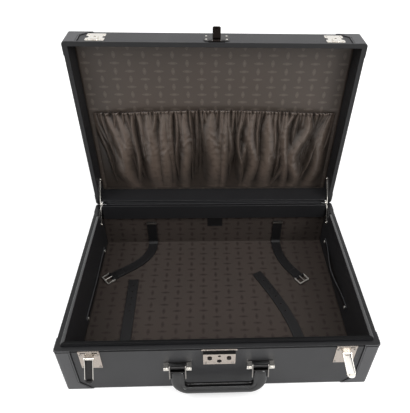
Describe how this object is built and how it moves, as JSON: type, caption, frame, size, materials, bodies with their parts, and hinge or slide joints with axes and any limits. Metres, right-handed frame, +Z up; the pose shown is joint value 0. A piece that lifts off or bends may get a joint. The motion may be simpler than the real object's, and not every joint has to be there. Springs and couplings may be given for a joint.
{
  "type": "suitcase",
  "caption": "Hard travel case standing open: covered base and lid on corner hinges, centre hasp lock, lever latches, swinging handle, lining, gathered pocket, packing straps.",
  "frame": {"origin": "middle of the base's underside, on the surface it rests on", "axes": "+X to the case's right as seen from its front, +Y from the front wall to the hinges, +Z up"},
  "size_m": [0.562, 0.488, 0.5391],
  "materials": {
    "shell_leatherette": "satin, fine grain",
    "corner_leather": "satin",
    "black_board": "matte",
    "strap_leather": "satin",
    "grip_leather": "satin",
    "lining_fabric": "matte woven",
    "pocket_cloth": "satin woven",
    "bright_metal": "polished",
    "dull_metal": "satin"
  },
  "bodies": {
    "base": {"base_shell": "shell_leatherette", "base_valance": "black_board", "base_lining": "lining_fabric", "side_liners": "black_board", "base_corners_front": "corner_leather", "base_corners_rear": "corner_leather", "lock_cover": "bright_metal", "lock_back_plate": "dull_metal", "lock_rivets": "bright_metal", "latch_plate_left": "bright_metal", "latch_plate_right": "bright_metal", "latch_pins": "bright_metal", "latch_rivets": "bright_metal", "handle_mount_left": "bright_metal", "handle_mount_right": "bright_metal", "handle_screws": "bright_metal", "base_hinge_leaf_left": "bright_metal", "base_hinge_leaf_right": "bright_metal", "hinge_pins": "bright_metal", "base_leaf_rivets": "bright_metal", "base_hinge_strip": "shell_leatherette", "rear_strap_left": "strap_leather", "rear_strap_right": "strap_leather", "strap_plates": "dull_metal", "buckle_left": "dull_metal", "buckle_right": "dull_metal", "front_strap_left": "strap_leather", "front_strap_right": "strap_leather", "side_strap_left": "strap_leather", "side_strap_right": "strap_leather", "side_strap_studs": "dull_metal", "label_patch": "strap_leather"},
    "lid": {"lid_shell": "shell_leatherette", "lid_lining": "lining_fabric", "lid_pocket": "pocket_cloth", "pocket_elastic": "pocket_cloth", "lid_corners_front": "corner_leather", "lid_corners_rear": "corner_leather", "lid_catch_left": "bright_metal", "lid_catch_right": "bright_metal", "hasp_plate": "bright_metal", "hasp_pin": "bright_metal", "lid_rivets": "bright_metal", "lid_hinge_leaf_left": "bright_metal", "lid_hinge_leaf_right": "bright_metal", "lid_hinge_strip": "shell_leatherette"},
    "hasp_flap": {"hasp_flap": "bright_metal"},
    "latch_lever_left": {"latch_lever_left": "bright_metal"},
    "latch_lever_right": {"latch_lever_right": "bright_metal"},
    "handle": {"handle_grip": "grip_leather", "handle_claw_left": "dull_metal", "handle_claw_right": "dull_metal"},
    "lock_button_left": {"lock_button_left": "bright_metal"},
    "lock_button_right": {"lock_button_right": "bright_metal"},
    "lock_catch_left": {"lock_catch_left": "dull_metal"},
    "lock_catch_right": {"lock_catch_right": "dull_metal"},
    "key_cylinder": {"key_cylinder": "bright_metal"},
    "buckle_prong_left": {"buckle_prong_left": "dull_metal"},
    "buckle_prong_right": {"buckle_prong_right": "dull_metal"}
  },
  "joints": [
    {"name": "lid_hinge", "type": "hinge", "parent": "base", "child": "lid", "pos_m": [0, 0.195, 0.122], "axis": [1, 0, 0], "range_deg": [0, 88]},
    {"name": "hasp_hinge", "type": "hinge", "parent": "lid", "child": "hasp_flap", "pos_m": [0, 0.1849, 0.51449], "axis": [1, 0, 0], "range_deg": [-10, 90]},
    {"name": "latch_pivot_left", "type": "hinge", "parent": "base", "child": "latch_lever_left", "pos_m": [-0.222, -0.2006, 0.107], "axis": [-1, 0, 0], "range_deg": [-32, 140]},
    {"name": "latch_pivot_right", "type": "hinge", "parent": "base", "child": "latch_lever_right", "pos_m": [0.222, -0.2006, 0.107], "axis": [-1, 0, 0], "range_deg": [-76, 96]},
    {"name": "handle_swing", "type": "hinge", "parent": "base", "child": "handle", "pos_m": [0, -0.203, 0.078], "axis": [-1, 0, 0], "range_deg": [0, 90]},
    {"name": "lock_button_left", "type": "slide", "parent": "base", "child": "lock_button_left", "axis": [0, 1, 0], "range_m": [0, 0.0016], "stiffness_N_per_m": 300, "springref_m": -0.001},
    {"name": "lock_button_right", "type": "slide", "parent": "base", "child": "lock_button_right", "axis": [0, 1, 0], "range_m": [0, 0.0016], "stiffness_N_per_m": 300, "springref_m": -0.001},
    {"name": "lock_catch_left", "type": "slide", "parent": "base", "child": "lock_catch_left", "axis": [-1, 0, 0], "range_m": [0, 0.0016]},
    {"name": "lock_catch_right", "type": "slide", "parent": "base", "child": "lock_catch_right", "axis": [1, 0, 0], "range_m": [0, 0.0016]},
    {"name": "key_turn", "type": "hinge", "parent": "base", "child": "key_cylinder", "pos_m": [0, -0.2, 0.0925], "axis": [0, 1, 0], "range_deg": [0, 90]},
    {"name": "prong_left", "type": "hinge", "parent": "base", "child": "buckle_prong_left", "pos_m": [-0.239, 0.068, 0.0097], "axis": [-0.6508, 0.7593, 0], "range_deg": [0, 100]},
    {"name": "prong_right", "type": "hinge", "parent": "base", "child": "buckle_prong_right", "pos_m": [0.195, 0.061, 0.0097], "axis": [-0.8493, -0.5279, 0], "range_deg": [0, 100]}
  ],
  "couplings": [
    {"joint": "lock_catch_left", "follows": "lock_button_left", "ratio": 1},
    {"joint": "lock_catch_right", "follows": "lock_button_right", "ratio": 1}
  ]
}
